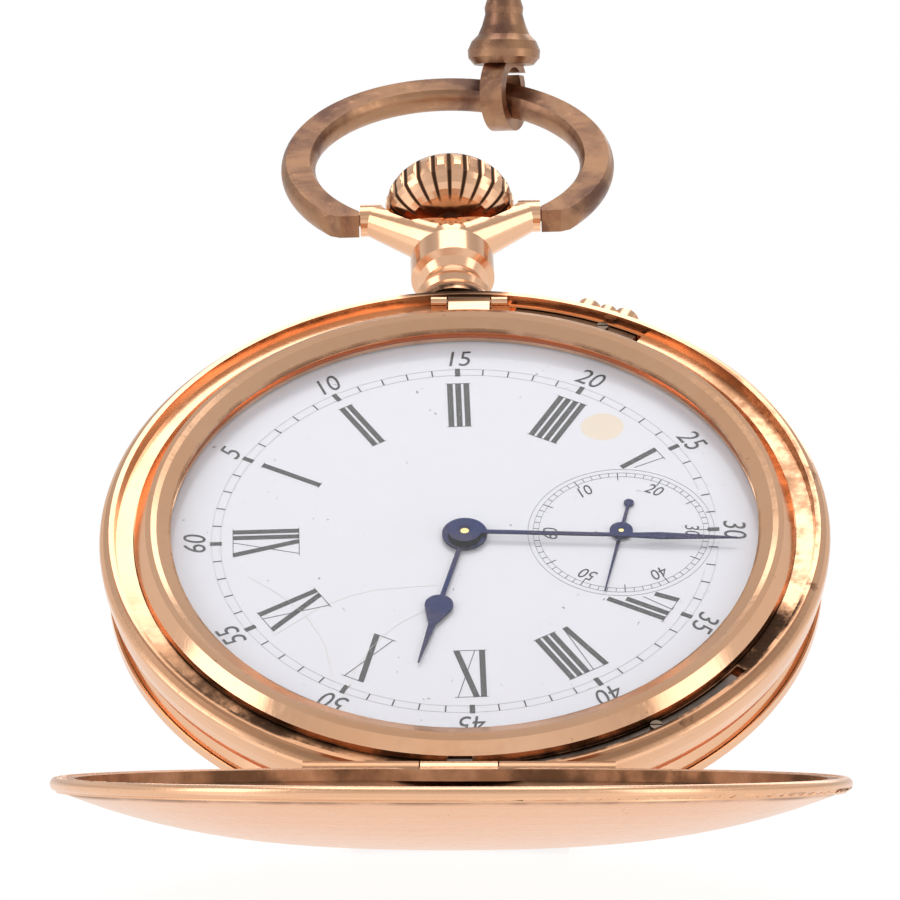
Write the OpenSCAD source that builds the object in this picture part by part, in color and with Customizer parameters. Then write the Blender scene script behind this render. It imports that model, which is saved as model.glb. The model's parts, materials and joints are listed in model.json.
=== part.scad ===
// Hunter-cased pocket watch, open, with its winding crown, movement and chain swivel.
// The case is drawn flat around its own centre: X to the right, Y towards the crown, Z out of the dial.
// It is then leaned back and moved, so that the origin lies in the eye that the chain holds.

/* [Case] */
// Radius of the case at its widest
case_r = 26; // [25:0.5:27]
// Angle that the open watch leans back from upright
lean = 47; // [30:1:60]
// Turn of the crown and movement from the line through the cover hinge
stem_turn = 2.5; // [0:0.5:4]
// Height of the band's front rim above the widest plane
rim_z = 0.9; // [0.6:0.1:1]
// Radius of the band's front rim crest
rim_r = 25.3; // [25:0.1:25.5]
// Level of the dirty ledge between rim and bezel
ledge_z = 0.1; // [0:0.05:0.3]
// Level of the band's back edge
band_back_z = -4.2; // [-4.4:0.1:-4.1]

/* [Covers] */
// Level of the front cover's rim and of its hinge axis when shut
lid_z = 1.6; // [1.5:0.05:1.8]
// Rise of the front cover's dome above its bead
lid_rise = 3.8; // [2:0.1:4.5]
// Thickness of the cover sheet
cover_t = 0.45; // [0.35:0.05:0.6]
// Length of the cover hinge
hinge_w = 21.5; // [18:0.5:24]
// Length of the cover's own middle knuckle
mid_knuckle_w = 5.4; // [4:0.2:7]
// Rise of the back cover's dome
back_rise = 4.1; // [4:0.1:4.5]

/* [Dial] */
// Radius of the enamel dial
dial_r = 21.3; // [21:0.1:21.4]
// Level of the dial's face
dial_z = -0.46; // [-0.6:0.02:-0.4]
// Thickness of the dial
dial_t = 0.6; // [0.5:0.05:0.7]
// Distance from the dial's centre to the seconds axis
seconds_x = 11.15; // [11:0.05:11.3]
// Length of the hour hand
hour_len = 13.6; // [12:0.2:14]
// Length of the minute hand
minute_len = 19.4; // [18:0.2:20]
// Length of the seconds hand
seconds_len = 6.4; // [5.5:0.1:6.5]

/* [Crown and bow] */
// Largest radius of the winding crown
crown_r = 4.85; // [4.5:0.05:5]
// Height of the crown
crown_h = 5; // [4.5:0.1:5.5]
// Radius of the bow's centre line
bow_r = 11.35; // [11:0.05:12]
// Thickness of the bow wire in the bow's own plane
bow_wire = 2.6; // [2.2:0.1:2.8]
// Angle between the bow and the plane of the case
bow_back = 10; // [0:1:20]

/* [Hidden] */
$fn = 96;
eps = 0.01;
fit = 0.03;                       // running clearance of small pivots

// ---- Levels of the movement, from the dial towards the back
pendant_z = -2.2;                 // axis of crown, stem and pendant
plate_front = -1.3;
plate_back = -3.4;
plate_r = 20.6;
band_in_r = 20.9;
motion_floor = -1.75;             // floor of the pocket under the dial
barrel_floor = -2.12;
barrel_top = -3.45;
centre_wheel_z = -3.85;
third_wheel_z = -4.25;
fourth_wheel_z = -4.62;
escape_wheel_z = -4.12;
escape_pinion_z = -4.66;
pallet_bridge_z = -4.56;
balance_z = -4.97;
roller_z = -4.42;
hairspring_z = -5.2;
barrel_bridge_in = -4.05;
barrel_bridge_out = -5.3;
train_bridge_in = -4.75;
train_bridge_out = -5.45;
cock_in = -5.32;
cock_out = -5.95;
top_wheel_in = -5.36;
top_wheel_out = -5.7;

// ---- Tooth numbers and modules of the wheels
centre_teeth = 80;
third_pinion_teeth = 10;
centre_module = 0.19;
third_teeth = 75;
fourth_pinion_teeth = 10;
third_module = 0.17;
fourth_teeth = 70;
escape_pinion_teeth = 7;
fourth_module = 0.15;
barrel_teeth = 84;
centre_pinion_teeth = 12;
barrel_module = 0.205;
ratchet_teeth = 36;
crown_wheel_teeth = 28;
top_module = 0.25;
cannon_teeth = 12;
minute_wheel_teeth = 36;
cannon_module = 0.13;
minute_pinion_teeth = 10;
hour_wheel_teeth = 40;

// ---- Axes of the movement, in the case's plane
function mesh(a, b, m) = (a + b) * m / 2;
motion_d = mesh(cannon_teeth, minute_wheel_teeth, cannon_module);
centre_third_d = mesh(centre_teeth, third_pinion_teeth, centre_module);
third_fourth_d = mesh(third_teeth, fourth_pinion_teeth, third_module);
third_x = (centre_third_d * centre_third_d - third_fourth_d * third_fourth_d + seconds_x * seconds_x)
    / (2 * seconds_x);
third_y = sqrt(centre_third_d * centre_third_d - third_x * third_x);
fourth_escape_d = mesh(fourth_teeth, escape_pinion_teeth, fourth_module);
escape_dir = -72;
barrel_centre_d = mesh(barrel_teeth, centre_pinion_teeth, barrel_module);
barrel_dir = 131;
top_wheels_d = mesh(ratchet_teeth, crown_wheel_teeth, top_module);
top_wheels_dir = 72;
minute_wheel_dir = 120;

third_at = [third_x, third_y];
fourth_at = [seconds_x, 0];
escape_at = fourth_at + fourth_escape_d * [cos(escape_dir), sin(escape_dir)];
barrel_at = barrel_centre_d * [cos(barrel_dir), sin(barrel_dir)];
crown_wheel_at = barrel_at + top_wheels_d * [cos(top_wheels_dir), sin(top_wheels_dir)];
minute_wheel_at = motion_d * [cos(minute_wheel_dir), sin(minute_wheel_dir)];
pallet_at = escape_at + [-2.5, -2.5];
balance_at = pallet_at + [-3.9, -2.4];
balance_r = 6.4;
click_at = barrel_at + [-6.3, -0.6];

// ---- Hinges: distance of the axis from the case's centre, and level
hinge_y = -26.2;
hinge_r = 0.85;
pin_r = 0.4;
back_hinge_y = -25.9;
back_hinge_z = -4.75;
back_hinge_r = 0.62;
back_pin_r = 0.28;
back_hinge_w = 15;
back_knuckle_w = 4.4;
dust_hinge_y = -23.35;
dust_hinge_z = -4.42;
dust_hinge_r = 0.42;
dust_pin_r = 0.2;
bezel_hinge_y = 24.35;
bezel_hinge_z = 0.62;
bezel_hinge_r = 0.4;
bezel_pin_r = 0.18;

// ---- Pendant, along its own axis
pivot_y = 37.5;                   // bow pivots
pivot_half = 6.75;                // half the width between the bow's ends
bow_pin_r = 0.55;
bow_centre_up = 7.5;              // bow centre above its pivots
crown_y = 38.4;                   // middle of the crown
yoke_y = 34;                      // middle of the pendant's yoke
yoke_r = 2.1;
yoke_end_r = 1.2;
yoke_angle = atan2(pivot_half - 0.9, pivot_y - 0.2 - yoke_y);
yoke_arm = norm([pivot_half - 0.9, pivot_y - 0.2 - yoke_y]);
sleeve_r = 1.25;
stem_r = 0.55;
crown_flutes = 24;

// ---- Swivel on the bow: place round the bow, size and height
hook_dir = 24;                    // degrees from the top of the bow
hook_in_r = 2;
hook_out_r = 2.9;
hook_w = 1.8;
hook_up = 0.45;                   // centre of the hook above the wire's centre
hook_twist = -20;                 // turn of the hook about the vertical
bell_low = 2.6;
neck_low = 6.1;
eye_up = 10.6;
eye_r = 1.1;
eye_out_r = 2.0;
eye_w = 1.6;

// ---- From the case's plane to the leaning watch, and from there to the origin in the chain eye
pivot_at = [-sin(stem_turn) * pivot_y, cos(stem_turn) * pivot_y, pendant_z];
function leaned(p) = [p.x, p.y * sin(lean) - p.z * cos(lean), p.y * cos(lean) + p.z * sin(lean)];
wire_along = bow_r * sin(hook_dir);
wire_up = bow_centre_up + bow_r * cos(hook_dir);
bow_flat = [cos(stem_turn) * wire_along - sin(stem_turn) * wire_up * cos(bow_back),
    sin(stem_turn) * wire_along + cos(stem_turn) * wire_up * cos(bow_back), -wire_up * sin(bow_back)];
wire_at = leaned(pivot_at + bow_flat);
eye_at = wire_at + [0, 0, hook_up + eye_up];
back_lug_w = (back_hinge_w - back_knuckle_w) / 2 - 0.05;
lift_arc = [-92, -38];  // directions that the lift spring spans
lock_arc = [60, 82];  // directions that the lock spring spans
spring_r = 24.15;
spring_holes = [[spring_r * cos(-56), spring_r * sin(-56)], [spring_r * cos(66), spring_r * sin(66)]];
pusher_dir = -22;                 // degrees from the pendant, towards the seconds dial
dial_feet_dirs = [35, 160, 255];  // directions of the dial feet
hour_turn = 180 - 285.5;  // hands at rest, turned from the pendant side
minute_turn = 180 - 184.5;
seconds_turn = 180 - 283;
// screws of the bridges, x and y
bridge_bolts = [[-18.2, 3.6], [-9.2, 16.6], [17.4, 7.4], [17.9, -2.8], [-1.4, -17.6], [5, -18.1]];
cock_foot = [14.6, -11];  // foot of the balance cock

module leaning() translate(-eye_at) rotate([90 - lean, 0, 0]) children();
module stem_frame() leaning() rotate([0, 0, stem_turn]) children();
module bow_frame() stem_frame() translate([0, pivot_y, pendant_z]) rotate([-bow_back, 0, 0]) children();
module swivel_frame() translate(wire_at - eye_at + [0, 0, hook_up]) rotate([0, 0, hook_twist]) children();
// Places a child on a movement axis
module at(p, z = 0) translate([p.x, p.y, z]) children();
// A cylinder lying along X, centred
module bar(r, w) rotate([0, 90, 0]) cylinder(r = r, h = w, center = true);
// A cylinder along Y, from y0 to y1
module rod(r, y0, y1) translate([0, y0, 0]) rotate([-90, 0, 0]) cylinder(r = r, h = y1 - y0);
// A ring from z0 up to z1
module ring(r_out, r_in, z0, z1) translate([0, 0, z0]) difference() {
    cylinder(r = r_out, h = z1 - z0);
    translate([0, 0, -1]) cylinder(r = r_in, h = z1 - z0 + 2);
}
module disc(r, z0, z1) translate([0, 0, z0]) cylinder(r = r, h = z1 - z0);

// A flat toothed wheel: pointed teeth round a circle, with a bore
module toothed(teeth, r_tip, depth, z0, z1, bore) translate([0, 0, z0]) linear_extrude(z1 - z0) difference() {
    polygon([for (i = [0 : 2 * teeth - 1]) let (r = i % 2 == 0 ? r_tip : r_tip - depth, a = 180 * i / teeth)
        [r * cos(a), r * sin(a)]]);
    circle(r = bore);
}
// A train wheel: toothed rim, hub and spokes, fixed on its arbor
module train_wheel(teeth, r_tip, z0, t, arbor_r, spokes = 4) {
    rim_in = r_tip * 0.8;
    difference() {
        toothed(teeth, r_tip, 0.28, z0, z0 + t, arbor_r - eps);
        disc(rim_in, z0 - 1, z0 + t + 1);
    }
    ring(arbor_r + 0.5, arbor_r - eps, z0, z0 + t);
    for (i = [0 : spokes - 1]) rotate([0, 0, i * 360 / spokes])
        translate([arbor_r + 0.3, -0.25, z0]) cube([rim_in - arbor_r, 0.5, t]);
}
// An arbor with thinner pivots at its ends
module arbor(r, z0, z1, pivot_r, pivot) {
    disc(r, z0 + pivot, z1 - pivot);
    disc(pivot_r, z0, z1);
}
// A slotted cheese-head screw pointing towards +Z
module screw(head_r, head_t, shank_r, length) difference() {
    union() {
        disc(head_r, -head_t, 0);
        disc(shank_r, -eps, length);
    }
    translate([-head_r - 1, -head_r * 0.14, -head_t - 1]) cube([2 * head_r + 2, head_r * 0.28, 1 + head_t * 0.45]);
}
// A dome shell of radius r and rise h, thickness t, with its edge at z = 0; a higher power has steeper sides
module cap_shell(r, h, t, power = 2, steps = 16) {
    upper = [for (i = [0 : steps]) [r * i / steps, h * (1 - pow(i / steps, power))]];
    rotate_extrude($fn = 128) polygon(concat(upper, [for (i = [steps : -1 : 0]) upper[i] - [0, t]]));
}
// Clear space round a hinge barrel between x0 and x1
module hinge_relief(y, z, r, x0, x1) translate([(x0 + x1) / 2, y, z]) bar(r, x1 - x0);

// ---------- Case ----------
module case_band() color("peru") leaning() difference() {
    union() {
        rotate_extrude($fn = 128) polygon(concat(
            [[band_in_r, band_back_z], [25.2, band_back_z]],
            [for (a = [-60 : 15 : 45]) [case_r - 2.2 + 2.2 * cos(a), 2.2 * sin(a) * 0.4 + (a < 0 ? 2.9 * sin(a) : 0)]],
            [[rim_r, rim_z], [rim_r - 0.35, rim_z], [rim_r - 0.5, ledge_z], [band_in_r + 0.9, ledge_z],
            [band_in_r + 0.9, plate_front - 0.6], [band_in_r, plate_front - 0.6]]));
        for (s = [-1, 1]) hinge_lug(s);
        for (s = [-1, 1]) back_lug(s);
        for (s = [-1, 1]) dust_lug(s);
        for (s = [-1, 1]) translate([s * 2.2, bezel_hinge_y, bezel_hinge_z]) {
            bar(bezel_hinge_r, 1.2);
            translate([-0.6, -0.25, -0.8]) cube([1.2, 0.5, 0.8]);
        }
    }
    translate([0, hinge_y, lid_z]) bar(pin_r, hinge_w + 2);
    hinge_relief(hinge_y, lid_z, hinge_r + 0.15, -mid_knuckle_w / 2 - 0.05, mid_knuckle_w / 2 + 0.05);
    translate([0, back_hinge_y, back_hinge_z]) bar(back_pin_r, back_hinge_w + 2);
    hinge_relief(back_hinge_y, back_hinge_z, back_hinge_r + 0.12, -back_knuckle_w / 2 - 0.05, back_knuckle_w / 2 + 0.05);
    translate([0, dust_hinge_y, dust_hinge_z]) bar(dust_pin_r, 11);
    hinge_relief(dust_hinge_y, dust_hinge_z, dust_hinge_r + 0.1, -3.05, 3.05);
    translate([0, bezel_hinge_y, bezel_hinge_z]) bar(bezel_pin_r, 8);
    hinge_relief(bezel_hinge_y, bezel_hinge_z, bezel_hinge_r + 0.12, -1.65, 1.65);
    // bores for the crown sleeve and for the setting pusher
    rotate([0, 0, stem_turn]) translate([0, 0, pendant_z]) {
        rod(sleeve_r + 0.04, 18, 30);
        rod(3.32, 25.42, 30);
    }
    pusher_frame() rod(0.55 + 0.04, -6, 4);
    // slot for the lift spring's nose, thumb nick, and holes of the spring screws
    translate([-1.1, hinge_y + 0.4, -0.55]) cube([2.2, 3.2, 3]);
    rotate([0, 0, -15]) translate([case_r + 0.9, 0, band_back_z - 0.3]) sphere(r = 1.3, $fn = 32);
    for (p = spring_holes) at(p) disc(0.3, -1.6, 2);
    spring_channels();
}
module hinge_lug(s) difference() {
    hull() {
        translate([s * (hinge_w + mid_knuckle_w) / 4, hinge_y, lid_z]) bar(hinge_r, (hinge_w - mid_knuckle_w) / 2 - 0.1);
        translate([s * (hinge_w + mid_knuckle_w) / 4, hinge_y + 1.6, -1]) bar(0.4, (hinge_w - mid_knuckle_w) / 2 - 0.1);
    }
    disc(24.6, -5, 5);
}
module back_lug(s) translate([s * (back_hinge_w / 2 - back_lug_w / 2), back_hinge_y, back_hinge_z]) {
    bar(back_hinge_r, back_lug_w);
    translate([-back_lug_w / 2, -0.1, 0]) cube([back_lug_w, 1.1, 0.85]);
}
module dust_lug(s) translate([s * 4.1, dust_hinge_y, dust_hinge_z]) {
    bar(dust_hinge_r, 2);
    translate([-1, -0.3, 0]) cube([2, 0.6, 0.6]);
}
// Springs lie in channels milled in the ledge, one each side of the cover hinge
module arc_strip(a0, a1, r, w, z0, z1) rotate([0, 0, a0])
    translate([0, 0, z0]) rotate_extrude(angle = a1 - a0) translate([r - w / 2, 0]) square([w, z1 - z0]);
module spring_channels() {
    arc_strip(lift_arc[0] - 2, lift_arc[1] + 2, spring_r, 0.9, -0.55, 1);
    arc_strip(lock_arc[0] - 1, lock_arc[1] + 1, spring_r, 0.9, -0.55, 1);
}
module lift_spring() color("dimgray") leaning() difference() {
    union() {
        arc_strip(lift_arc[0], lift_arc[1], spring_r, 0.7, -0.5, 0);
        translate([-0.85, hinge_y + 1.25, -0.5]) cube([1.7, 1.2, 1.1]);
    }
    at(spring_holes[0]) disc(0.32, -2, 2);
}
module lock_spring() color("dimgray") leaning() difference() {
    arc_strip(lock_arc[0], lock_arc[1], spring_r, 0.7, -0.5, 0);
    at(spring_holes[1]) disc(0.32, -2, 2);
}
module spring_screws() color("dimgray") leaning() for (p = spring_holes)
    at(p, 0.02) mirror([0, 0, 1]) screw(0.42, 0.3, 0.27, 1.4);

module front_cover_shut() color("burlywood") difference() {
    union() {
        translate([0, 0, lid_z]) {
            translate([0, 0, 0.4]) cap_shell(case_r - 0.4, lid_rise, cover_t, 2.8);
            rotate_extrude($fn = 128) {
                translate([case_r - 0.45, 0]) circle(r = 0.45, $fn = 32);
                translate([case_r - 1.6, -0.35]) square([1.2, 0.9]);
            }
        }
        // crescent pad and middle knuckle at the hinge
        intersection() {
            translate([0, hinge_y - 9.5, lid_z - 0.35]) cylinder(r = 12.6, h = 0.8);
            disc(case_r - 0.5, 0, 5);
        }
        translate([0, hinge_y, lid_z]) bar(hinge_r, mid_knuckle_w - 0.1);
        translate([-mid_knuckle_w / 2 + 0.1, hinge_y, lid_z - 0.35]) cube([mid_knuckle_w - 0.2, 1.2, 0.7]);
    }
    translate([0, hinge_y, lid_z]) bar(pin_r + fit, mid_knuckle_w + 2);
    for (s = [-1, 1]) hinge_relief(hinge_y, lid_z, hinge_r + 0.4,
        s > 0 ? mid_knuckle_w / 2 - 0.04 : -hinge_w / 2 - 0.3, s > 0 ? hinge_w / 2 + 0.3 : -mid_knuckle_w / 2 + 0.04);
}
// The front cover is drawn shut and turned about its hinge to where it lies open
module front_cover() leaning() translate([0, hinge_y, lid_z]) rotate([90 + lean, 0, 0])
    translate([0, -hinge_y, -lid_z]) front_cover_shut();
module front_hinge_pin() color("sienna") leaning() translate([0, hinge_y, lid_z]) bar(pin_r - eps, hinge_w);

module back_cover() color("burlywood") leaning() difference() {
    union() {
        translate([0, 0, band_back_z - 0.35]) mirror([0, 0, 1]) {
            cap_shell(25.5, back_rise, cover_t, 4);
            ring(25.5, 24.8, -0.3, 0.3);
        }
        translate([0, back_hinge_y, back_hinge_z]) bar(back_hinge_r, back_knuckle_w - 0.1);
        translate([-2, back_hinge_y, back_hinge_z - 0.2]) cube([4, 1.4, 0.4]);
    }
    translate([0, back_hinge_y, back_hinge_z]) bar(back_pin_r + fit, back_knuckle_w + 2);
    for (s = [-1, 1]) hinge_relief(back_hinge_y, back_hinge_z, back_hinge_r + 0.12,
        s > 0 ? back_knuckle_w / 2 - 0.04 : -back_hinge_w / 2 - 0.2, s > 0 ? back_hinge_w / 2 + 0.2 : -back_knuckle_w / 2 + 0.04);
    for (s = [-1, 1]) translate([s * (back_hinge_w + back_knuckle_w) / 4, back_hinge_y + 0.5, back_hinge_z + 0.4])
        cube([back_lug_w + 0.3, 1.3, 1.4], center = true);
}
module back_hinge_pin() color("sienna") leaning() translate([0, back_hinge_y, back_hinge_z])
    bar(back_pin_r - eps, back_hinge_w - 0.2);
module dust_cover() color("tan") leaning() difference() {
    union() {
        translate([0, 0, band_back_z - 0.35]) mirror([0, 0, 1]) {
            cap_shell(23, 2.5, 0.3, 10, 24);
            ring(23, 22.3, -0.25, 0.2);
        }
        translate([0, dust_hinge_y, dust_hinge_z]) bar(dust_hinge_r, 5.9);
        translate([-2.8, dust_hinge_y, dust_hinge_z - 0.15]) cube([5.6, 1.2, 0.3]);
    }
    translate([0, dust_hinge_y, dust_hinge_z]) bar(dust_pin_r + fit, 8);
}
module dust_hinge_pin() color("sienna") leaning() translate([0, dust_hinge_y, dust_hinge_z]) bar(dust_pin_r - eps, 10);

module bezel() color("goldenrod") leaning() difference() {
    union() {
        rotate_extrude($fn = 128) polygon([[21.7, ledge_z + 0.05], [23.6, ledge_z + 0.05], [23.45, 0.6], [22.7, 1.35],
            [22.3, 1.5], [21.9, 1.35], [20.9, 0.85], [20.95, 0.6], [21.4, 0.5], [21.4, 0.1], [21.05, 0], [21.05, -0.3],
            [21.5, -0.3], [21.7, -0.1]]);
        translate([0, bezel_hinge_y, bezel_hinge_z]) bar(bezel_hinge_r, 3.1);
        translate([-1.5, bezel_hinge_y - 1.3, bezel_hinge_z - 0.3]) cube([3, 1.3, 0.6]);
    }
    translate([0, bezel_hinge_y, bezel_hinge_z]) bar(bezel_pin_r + fit, 5);
}
module bezel_hinge_pin() color("sienna") leaning() translate([0, bezel_hinge_y, bezel_hinge_z]) bar(bezel_pin_r - eps, 5.4);
module crystal() color("lightcyan", 0.3) leaning() {
    ring(21.3, 20.4, 0.14, 0.46);
    translate([0, 0, 0.5]) cap_shell(20.6, 1, 0.3);
}

// ---------- Pendant, crown and bow ----------
module pendant() color("peru") stem_frame() translate([0, 0, pendant_z]) difference() {
    union() {
        rotate([-90, 0, 0]) rotate_extrude() polygon([[0, 25.45], [3.3, 25.45], [3.3, 25.7], [3.1, 26.4],
            [2.75, 27.1], [2.95, 27.6], [2.75, 28.1], [2.2, 28.7], [2.2, 29.4], [2.6, 30], [3.1, 30.3], [3.1, 32.4], [0, 33.4]]);
        translate([0, yoke_y, 0]) sphere(r = yoke_r + 0.1);
        for (s = [-1, 1]) {
            translate([0, yoke_y, 0]) rotate([0, 0, -s * yoke_angle]) rotate([-90, 0, 0])
                cylinder(r1 = yoke_r, r2 = yoke_end_r, h = yoke_arm);
            translate([s * (pivot_half - 0.9), pivot_y - 0.2, 0]) bar(yoke_end_r, 1.8);
        }
    }
    // saddle that lets the crown move down when it is pressed
    translate([0, crown_y, 0]) rotate([-90, 0, 0]) rotate_extrude($fn = 96) polygon([[0, -crown_h / 2 - 0.65],
        [3.4, -crown_h / 2 - 0.6], [4.7, -1.9], [5.2, -0.9], [5.4, 0], [5.4, 4.5], [0, 4.5]]);
    for (s = [-1, 1]) translate([s * pivot_half, pivot_y, 0]) bar(bow_pin_r + 0.04, 3);
    rod(sleeve_r + 0.04, 20, 45);
    translate([-5, 20, band_back_z + 0.1 - pendant_z - 5]) cube([10, 7, 5]);
}
// The sleeve slides in when the crown is pressed, and opens the front cover's lock
module crown_sleeve() color("silver") stem_frame() translate([0, 0, pendant_z]) difference() {
    rod(sleeve_r, 23.4, 34.8);
    rod(stem_r + fit, 20, 40);
}
module winding_stem() color("silver") stem_frame() translate([0, 0, pendant_z]) {
    rod(stem_r, 20.5, 36.2);
    intersection() {
        rod(stem_r, 13.6, 21);
        translate([-0.42, 12, -0.42]) cube([0.84, 10, 0.84]);
    }
}
module crown() color("burlywood") stem_frame() translate([0, crown_y, pendant_z]) rotate([-90, 0, 0]) difference() {
    rotate_extrude($fn = 96) polygon(concat([[stem_r, -crown_h / 2]],
        [for (a = [-60 : 10 : 80]) [crown_r * (0.3 + 0.7 * cos(a)), crown_h / 2 * sin(a) / sin(80)]],
        [[0, crown_h / 2], [0, -crown_h / 2 + 2.4], [stem_r, -crown_h / 2 + 2.4]]));
    for (i = [0 : crown_flutes - 1]) rotate([0, 0, i * 360 / crown_flutes]) translate([crown_r + 0.16, 0, -crown_h])
        cylinder(r = 0.42, h = 2 * crown_h, $fn = 16);
}
module bow() color("saddlebrown") bow_frame() {
    difference() {
        translate([0, bow_centre_up, 0]) rotate_extrude($fn = 96) translate([bow_r, 0]) intersection() {
            circle(r = bow_wire / 2, $fn = 48);
            square([bow_wire, bow_wire * 0.72], center = true);
        }
        translate([-pivot_half - 0.1, -20, -5]) cube([2 * pivot_half + 0.2, 21.5, 10]);
        translate([-20, -20, -5]) cube([40, 18.9, 10]);
        for (s = [-1, 1]) translate([s * 8.3, -1.1, 0]) rotate([0, 0, s * 22]) translate([-3, -3, -5]) cube([6, 3, 10]);
    }
    for (s = [-1, 1]) translate([s * (pivot_half + 0.3), 0, 0]) bar(bow_pin_r, 2.6);
}

// ---------- Setting pusher beside the pendant ----------
module pusher_frame() rotate([0, 0, pusher_dir]) translate([0, case_r - 0.4, -1.4]) children();
module setting_pusher() color("peru") leaning() pusher_frame() {
    rod(0.55, -2.9, 1.3);
    rod(0.75, 1.3, 1.9);
}
module pusher_guard() color("burlywood") leaning() difference() {
    pusher_frame() {
        for (s = [-1, 1]) translate([s * 1.45, 0, 0]) rod(0.95, 0.42, 1.8);
        translate([-1.5, 0.42, -0.8]) cube([3, 0.9, 1.6]);
    }
    pusher_frame() rod(0.8, 0.55, 3);
    pusher_frame() rod(0.55 + 0.04, -3, 3);
}

// ---------- Dial and hands ----------
module dial() color("white") stem_frame() difference() {
    union() {
        disc(dial_r, dial_z - dial_t, dial_z);
        for (a = dial_feet_dirs) at(17.5 * [cos(a), sin(a)]) disc(0.4, -2.4, dial_z - 0.2);
    }
    disc(1.15, -5, 5);
    at(fourth_at) disc(0.45, -5, 5);
}
module hour_hand() color("midnightblue") stem_frame() rotate([0, 0, hour_turn]) difference() {
    union() {
        disc(1.62, -0.28, -0.12);
        translate([0, -0.17, -0.26]) cube([8, 0.34, 0.12]);
        hull() {
            translate([7.6, 0, -0.26]) cylinder(r = 1.02, h = 0.12, $fn = 32);
            translate([9.6, 0, -0.26]) cylinder(r = 0.25, h = 0.12, $fn = 32);
        }
        translate([0, 0, -0.26]) linear_extrude(0.12) polygon([[9, -0.3], [hour_len, -0.05], [hour_len, 0.05], [9, 0.3]]);
    }
    disc(0.84, -1, 1);
}
module minute_hand() color("midnightblue") stem_frame() rotate([0, 0, minute_turn]) difference() {
    union() {
        disc(1.2, 0, 0.22);
        translate([0, 0, 0.02]) linear_extrude(0.12) polygon([[0, -0.17], [10.7, -0.15], [14, -0.32],
            [minute_len, -0.04], [minute_len, 0.04], [14, 0.32], [10.7, 0.15], [0, 0.17]]);
    }
    disc(0.5, -1, 1);
}
module seconds_hand() color("midnightblue") stem_frame() at(fourth_at) rotate([0, 0, seconds_turn]) difference() {
    union() {
        disc(0.83, -0.4, -0.24);
        translate([0, 0, -0.38]) linear_extrude(0.1) polygon([[-3, -0.1], [0, -0.14], [seconds_len, -0.04],
            [seconds_len, 0.04], [0, 0.14], [-3, 0.1]]);
        translate([-3, 0, -0.38]) cylinder(r = 0.37, h = 0.1);
    }
    disc(0.2, -1, 1);
}
// Hands stand at about half past nine; twelve o'clock is at -X and the hands turn against +Z

// ---------- Motion works under the dial ----------
module cannon_pinion() color("silver") stem_frame() difference() {
    union() {
        toothed(cannon_teeth, 0.86, 0.16, -1.7, -1.45, 0.36);
        disc(0.62, -1.72, -1.1);
        disc(0.5, -1.2, 0.18);
    }
    disc(0.33, -3, 3);
}
module minute_wheel() color("gold") stem_frame() at(minute_wheel_at) {
    toothed(minute_wheel_teeth, motion_d - 0.9, 0.2, -1.7, -1.5, 0.28);
    toothed(minute_pinion_teeth, 0.62, 0.14, -1.52, -1.2, 0.28);
}
module hour_wheel() color("gold") stem_frame() difference() {
    union() {
        toothed(hour_wheel_teeth, motion_d - 0.66, 0.2, -1.38, -1.2, 0.6);
        disc(0.84, -1.3, -0.14);
    }
    disc(0.66, -3, 3);
}

// ---------- Plates, bridges and cock ----------
module main_plate() color("gainsboro") stem_frame() difference() {
    union() {
        disc(plate_r, plate_back, plate_front);
        ring(band_in_r + 0.75, plate_r - 1, plate_front - 0.55, plate_front);
        at(minute_wheel_at) disc(0.25, motion_floor - eps, -1.25);
    }
    at(barrel_at) disc(9.1, plate_back - 1, barrel_floor);
    disc(1.9, plate_back - 1, -2.6);
    disc(3.2, motion_floor, 0);
    at(minute_wheel_at) ring(motion_d, 0.25, motion_floor, 0);
    disc(0.36, -5, 0);
    at(barrel_at) disc(0.5 + fit, -5, 0);
    at(third_at) disc(0.18 + fit, -5, -2.2);
    at(fourth_at) disc(0.22 + fit, -5, 0);
    at(escape_at) disc(0.15 + fit, -5, -2.2);
    at(pallet_at) disc(0.15 + fit, -5, -2.2);
    at(balance_at) disc(0.15 + fit, -5, -2.2);
    at(balance_at) disc(1.1, -5, -3.1);
    translate([0, 0, pendant_z]) rod(1.15, 12.2, 22);
    for (a = dial_feet_dirs) at(17.5 * [cos(a), sin(a)]) disc(0.45, -5, 0);
    for (b = bridge_bolts) at(b) disc(0.3, -5, -2);
}
module bolt_holes(from, to) for (i = [from : to]) at(bridge_bolts[i]) disc(0.33, -8, 0);
module barrel_region(gap) difference() {
    circle(r = plate_r - 0.3);
    translate([-0.4 - gap, -30]) square([40, 42.6 + gap]);
    translate([3.6 - gap, 0]) square([40, 40]);
    translate([-30, -30 + gap]) square([60, 28]);
    circle(r = 2.4 + gap);
}
module barrel_bridge() color("gainsboro") stem_frame() difference() {
    union() {
        translate([0, 0, barrel_bridge_out]) linear_extrude(barrel_bridge_in - barrel_bridge_out) barrel_region(0);
        for (i = [0, 1]) at(bridge_bolts[i]) disc(1, barrel_bridge_in - eps, plate_back);
        intersection() {
            ring(plate_r - 0.3, 18.9, barrel_bridge_in - eps, plate_back);
            translate([-30, -1, -8]) cube([29.5, 40, 8]);
        }
    }
    at(barrel_at) disc(0.7 + fit, -8, 0);
    at(crown_wheel_at) disc(0.7 + fit, -8, 0);
    translate([0, 0, pendant_z]) rod(1.15, 12.2, 22);
    bolt_holes(0, 1);
}
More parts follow.
